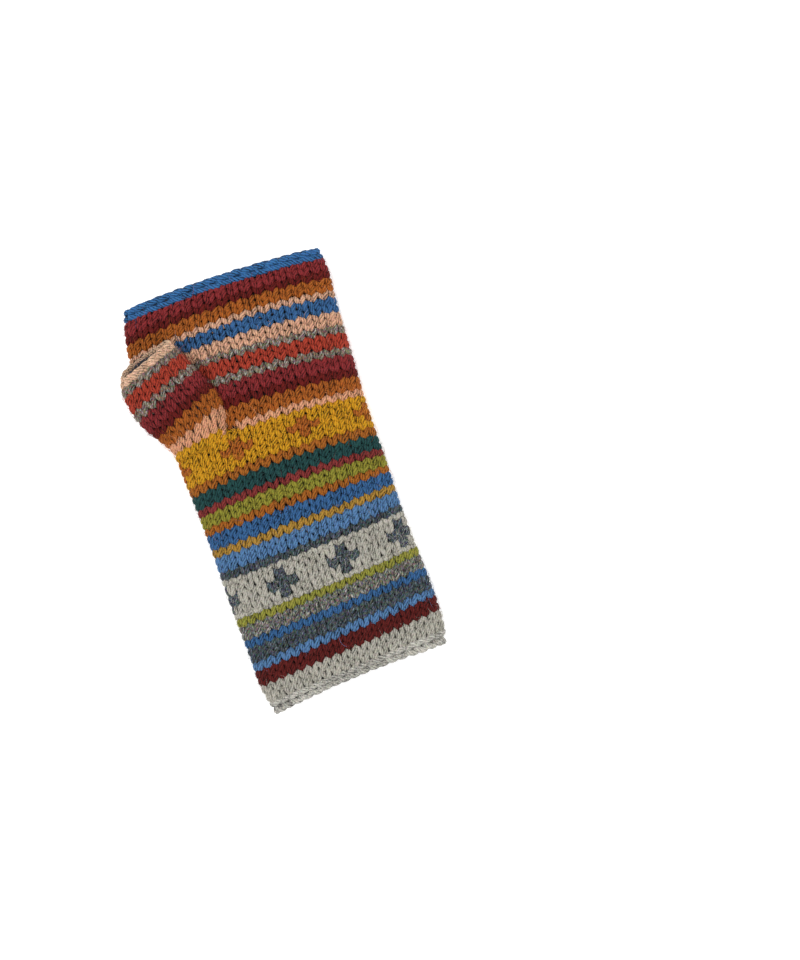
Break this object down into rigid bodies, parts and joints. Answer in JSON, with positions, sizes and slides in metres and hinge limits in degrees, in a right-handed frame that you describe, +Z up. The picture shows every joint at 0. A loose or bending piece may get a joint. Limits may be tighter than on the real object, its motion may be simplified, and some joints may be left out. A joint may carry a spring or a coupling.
{
  "type": "wrist warmer",
  "caption": "Striped hand-knitted wool wrist warmer with a short open thumb and small cross motifs, lined with dark fleece, lying flat on its back.",
  "frame": {"origin": "middle of the underside, on the surface that the warmer lies on", "axes": "+X across the hand to the side away from the thumb, +Y from the wrist to the fingers, +Z up through the two layers"},
  "size_m": [0.1206, 0.2226, 0.0341],
  "materials": {
    "striped_wool": "matte, thick hand knitting in many plain stripes",
    "thumb_wool": "matte, thick hand knitting in plain stripes",
    "light_grey_wool": "matte wool chain",
    "blue_wool": "matte wool chain",
    "peach_wool": "matte wool chain",
    "charcoal_fleece": "matte short-pile fleece"
  },
  "bodies": {
    "root": {"knit_body": "striped_wool", "thumb_knit": "thumb_wool", "wrist_edge": "light_grey_wool", "hand_edge": "blue_wool", "thumb_edge": "peach_wool", "lining": "charcoal_fleece"}
  },
  "joints": []
}
